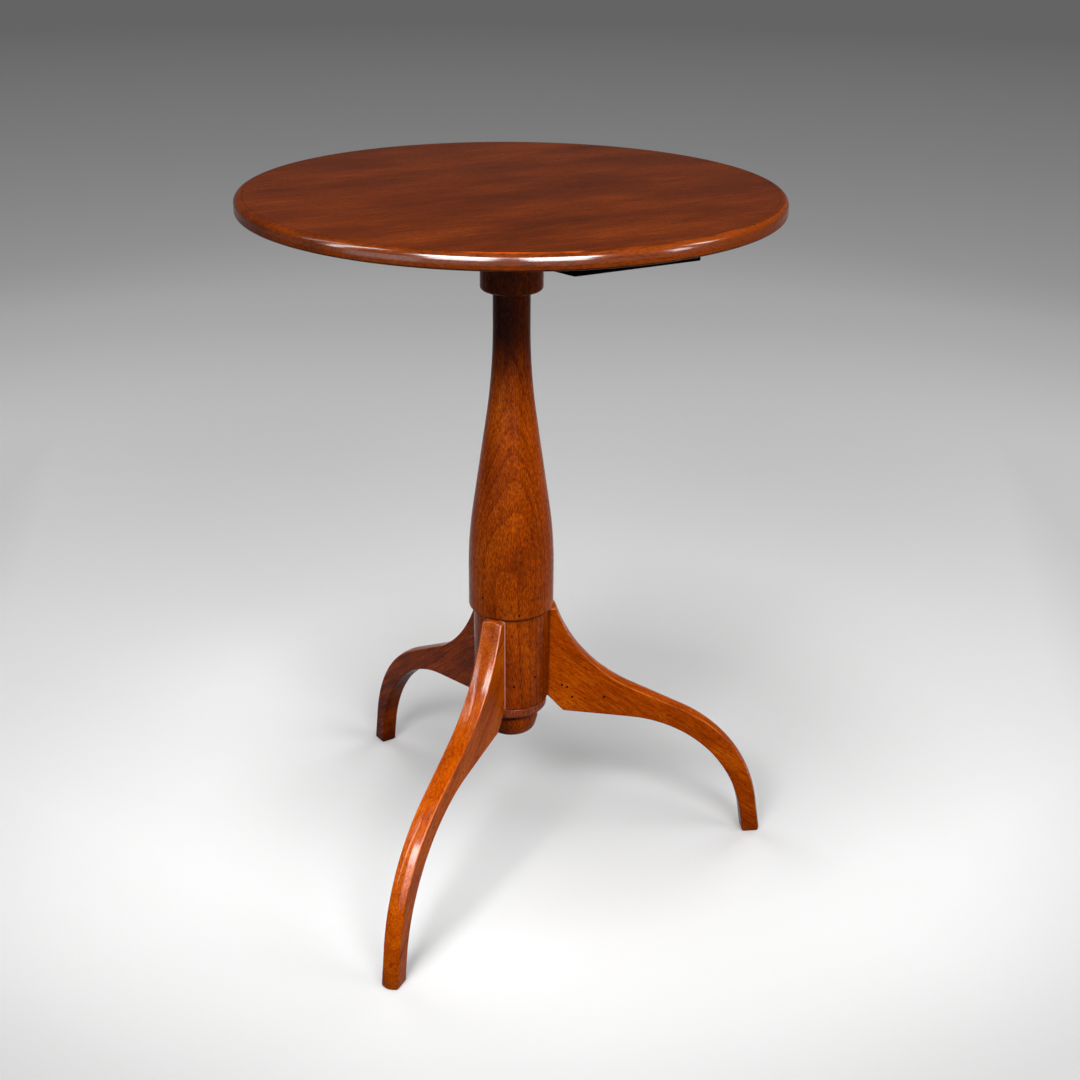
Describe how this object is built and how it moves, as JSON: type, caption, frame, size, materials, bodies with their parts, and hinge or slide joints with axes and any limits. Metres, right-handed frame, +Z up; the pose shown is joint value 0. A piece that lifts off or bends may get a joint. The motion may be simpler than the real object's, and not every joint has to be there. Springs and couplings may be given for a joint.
{
  "type": "wine table",
  "caption": "Round wooden occasional table: a flat top with a rounded rim, screwed to a bearer on a turned column that curved tripod legs carry.",
  "frame": {"origin": "on the floor, under the axis of the column", "axes": "+Z up along the column, +X along the right leg; the other legs stand at 120 and 240 degrees"},
  "size_m": [0.536, 0.512, 0.72],
  "materials": {
    "top_wood": "polished dark red-brown hardwood, glossy",
    "turned_wood": "polished orange-brown hardwood, glossy",
    "leg_wood": "polished orange-brown hardwood, glossy, softened arrises",
    "bearer_wood": "dark stained hardwood, satin",
    "wedge_wood": "plain hardwood, unfinished",
    "screw_steel": "dull darkened steel"
  },
  "bodies": {
    "root": {"top": "top_wood", "bearer": "bearer_wood", "bearer_screws": "screw_steel", "collar": "turned_wood", "column": "turned_wood", "tenon_wedge": "wedge_wood", "base_cap": "turned_wood", "leg_right": "leg_wood", "leg_back": "leg_wood", "leg_front": "leg_wood"}
  },
  "joints": []
}
